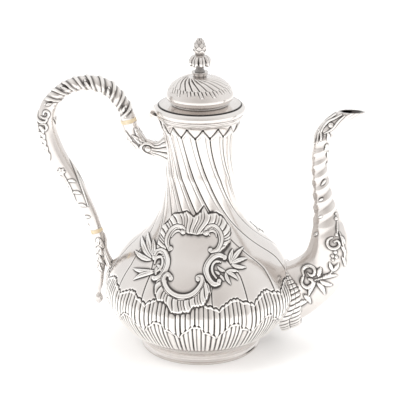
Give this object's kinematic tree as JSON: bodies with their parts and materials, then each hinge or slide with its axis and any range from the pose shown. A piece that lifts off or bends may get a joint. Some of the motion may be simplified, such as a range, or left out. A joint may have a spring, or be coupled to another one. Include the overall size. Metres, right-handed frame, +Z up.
{
  "type": "coffee pot",
  "caption": "Baluster coffee pot with a hinged domed lid, a curved hollow spout and an insulated loop handle on a ring foot.",
  "frame": {"origin": "centre of the foot ring's underside, on the body's axis", "axes": "+Z up, +X towards the spout, -X towards the handle and the lid's hinge"},
  "size_m": [0.2744, 0.1662, 0.2695],
  "materials": {
    "silver": "polished silver with dark patina in the chased lines",
    "ivory": "satin ivory, slightly yellowed",
    "fittings": "satin"
  },
  "bodies": {
    "pot": {"body_shell": "silver", "mouth_rim": "silver", "foot_ring": "silver", "base_plate": "silver", "spout_tube": "silver", "spout_collar": "silver", "handle_upper_socket": "silver", "handle_upper_insulator": "ivory", "handle_upper_rivets": "silver", "handle_grip": "silver", "handle_lower_insulator": "ivory", "handle_lower_rivets": "silver", "handle_lower_socket": "silver", "hinge_body_leaf": "silver", "hinge_pin": "fittings"},
    "lid": {"lid_dome": "silver", "lid_band": "silver", "lid_bezel": "silver", "finial_base": "silver", "finial_stem": "silver", "finial_calyx": "silver", "finial_bud": "silver", "finial_stud": "fittings", "finial_washer": "fittings", "finial_nut": "fittings", "hinge_lid_leaf": "silver"}
  },
  "joints": [
    {"name": "lid_hinge", "type": "hinge", "parent": "pot", "child": "lid", "pos_m": [-0.0399, 0, 0.2042], "axis": [0, -1, 0], "range_deg": [0, 80]}
  ]
}
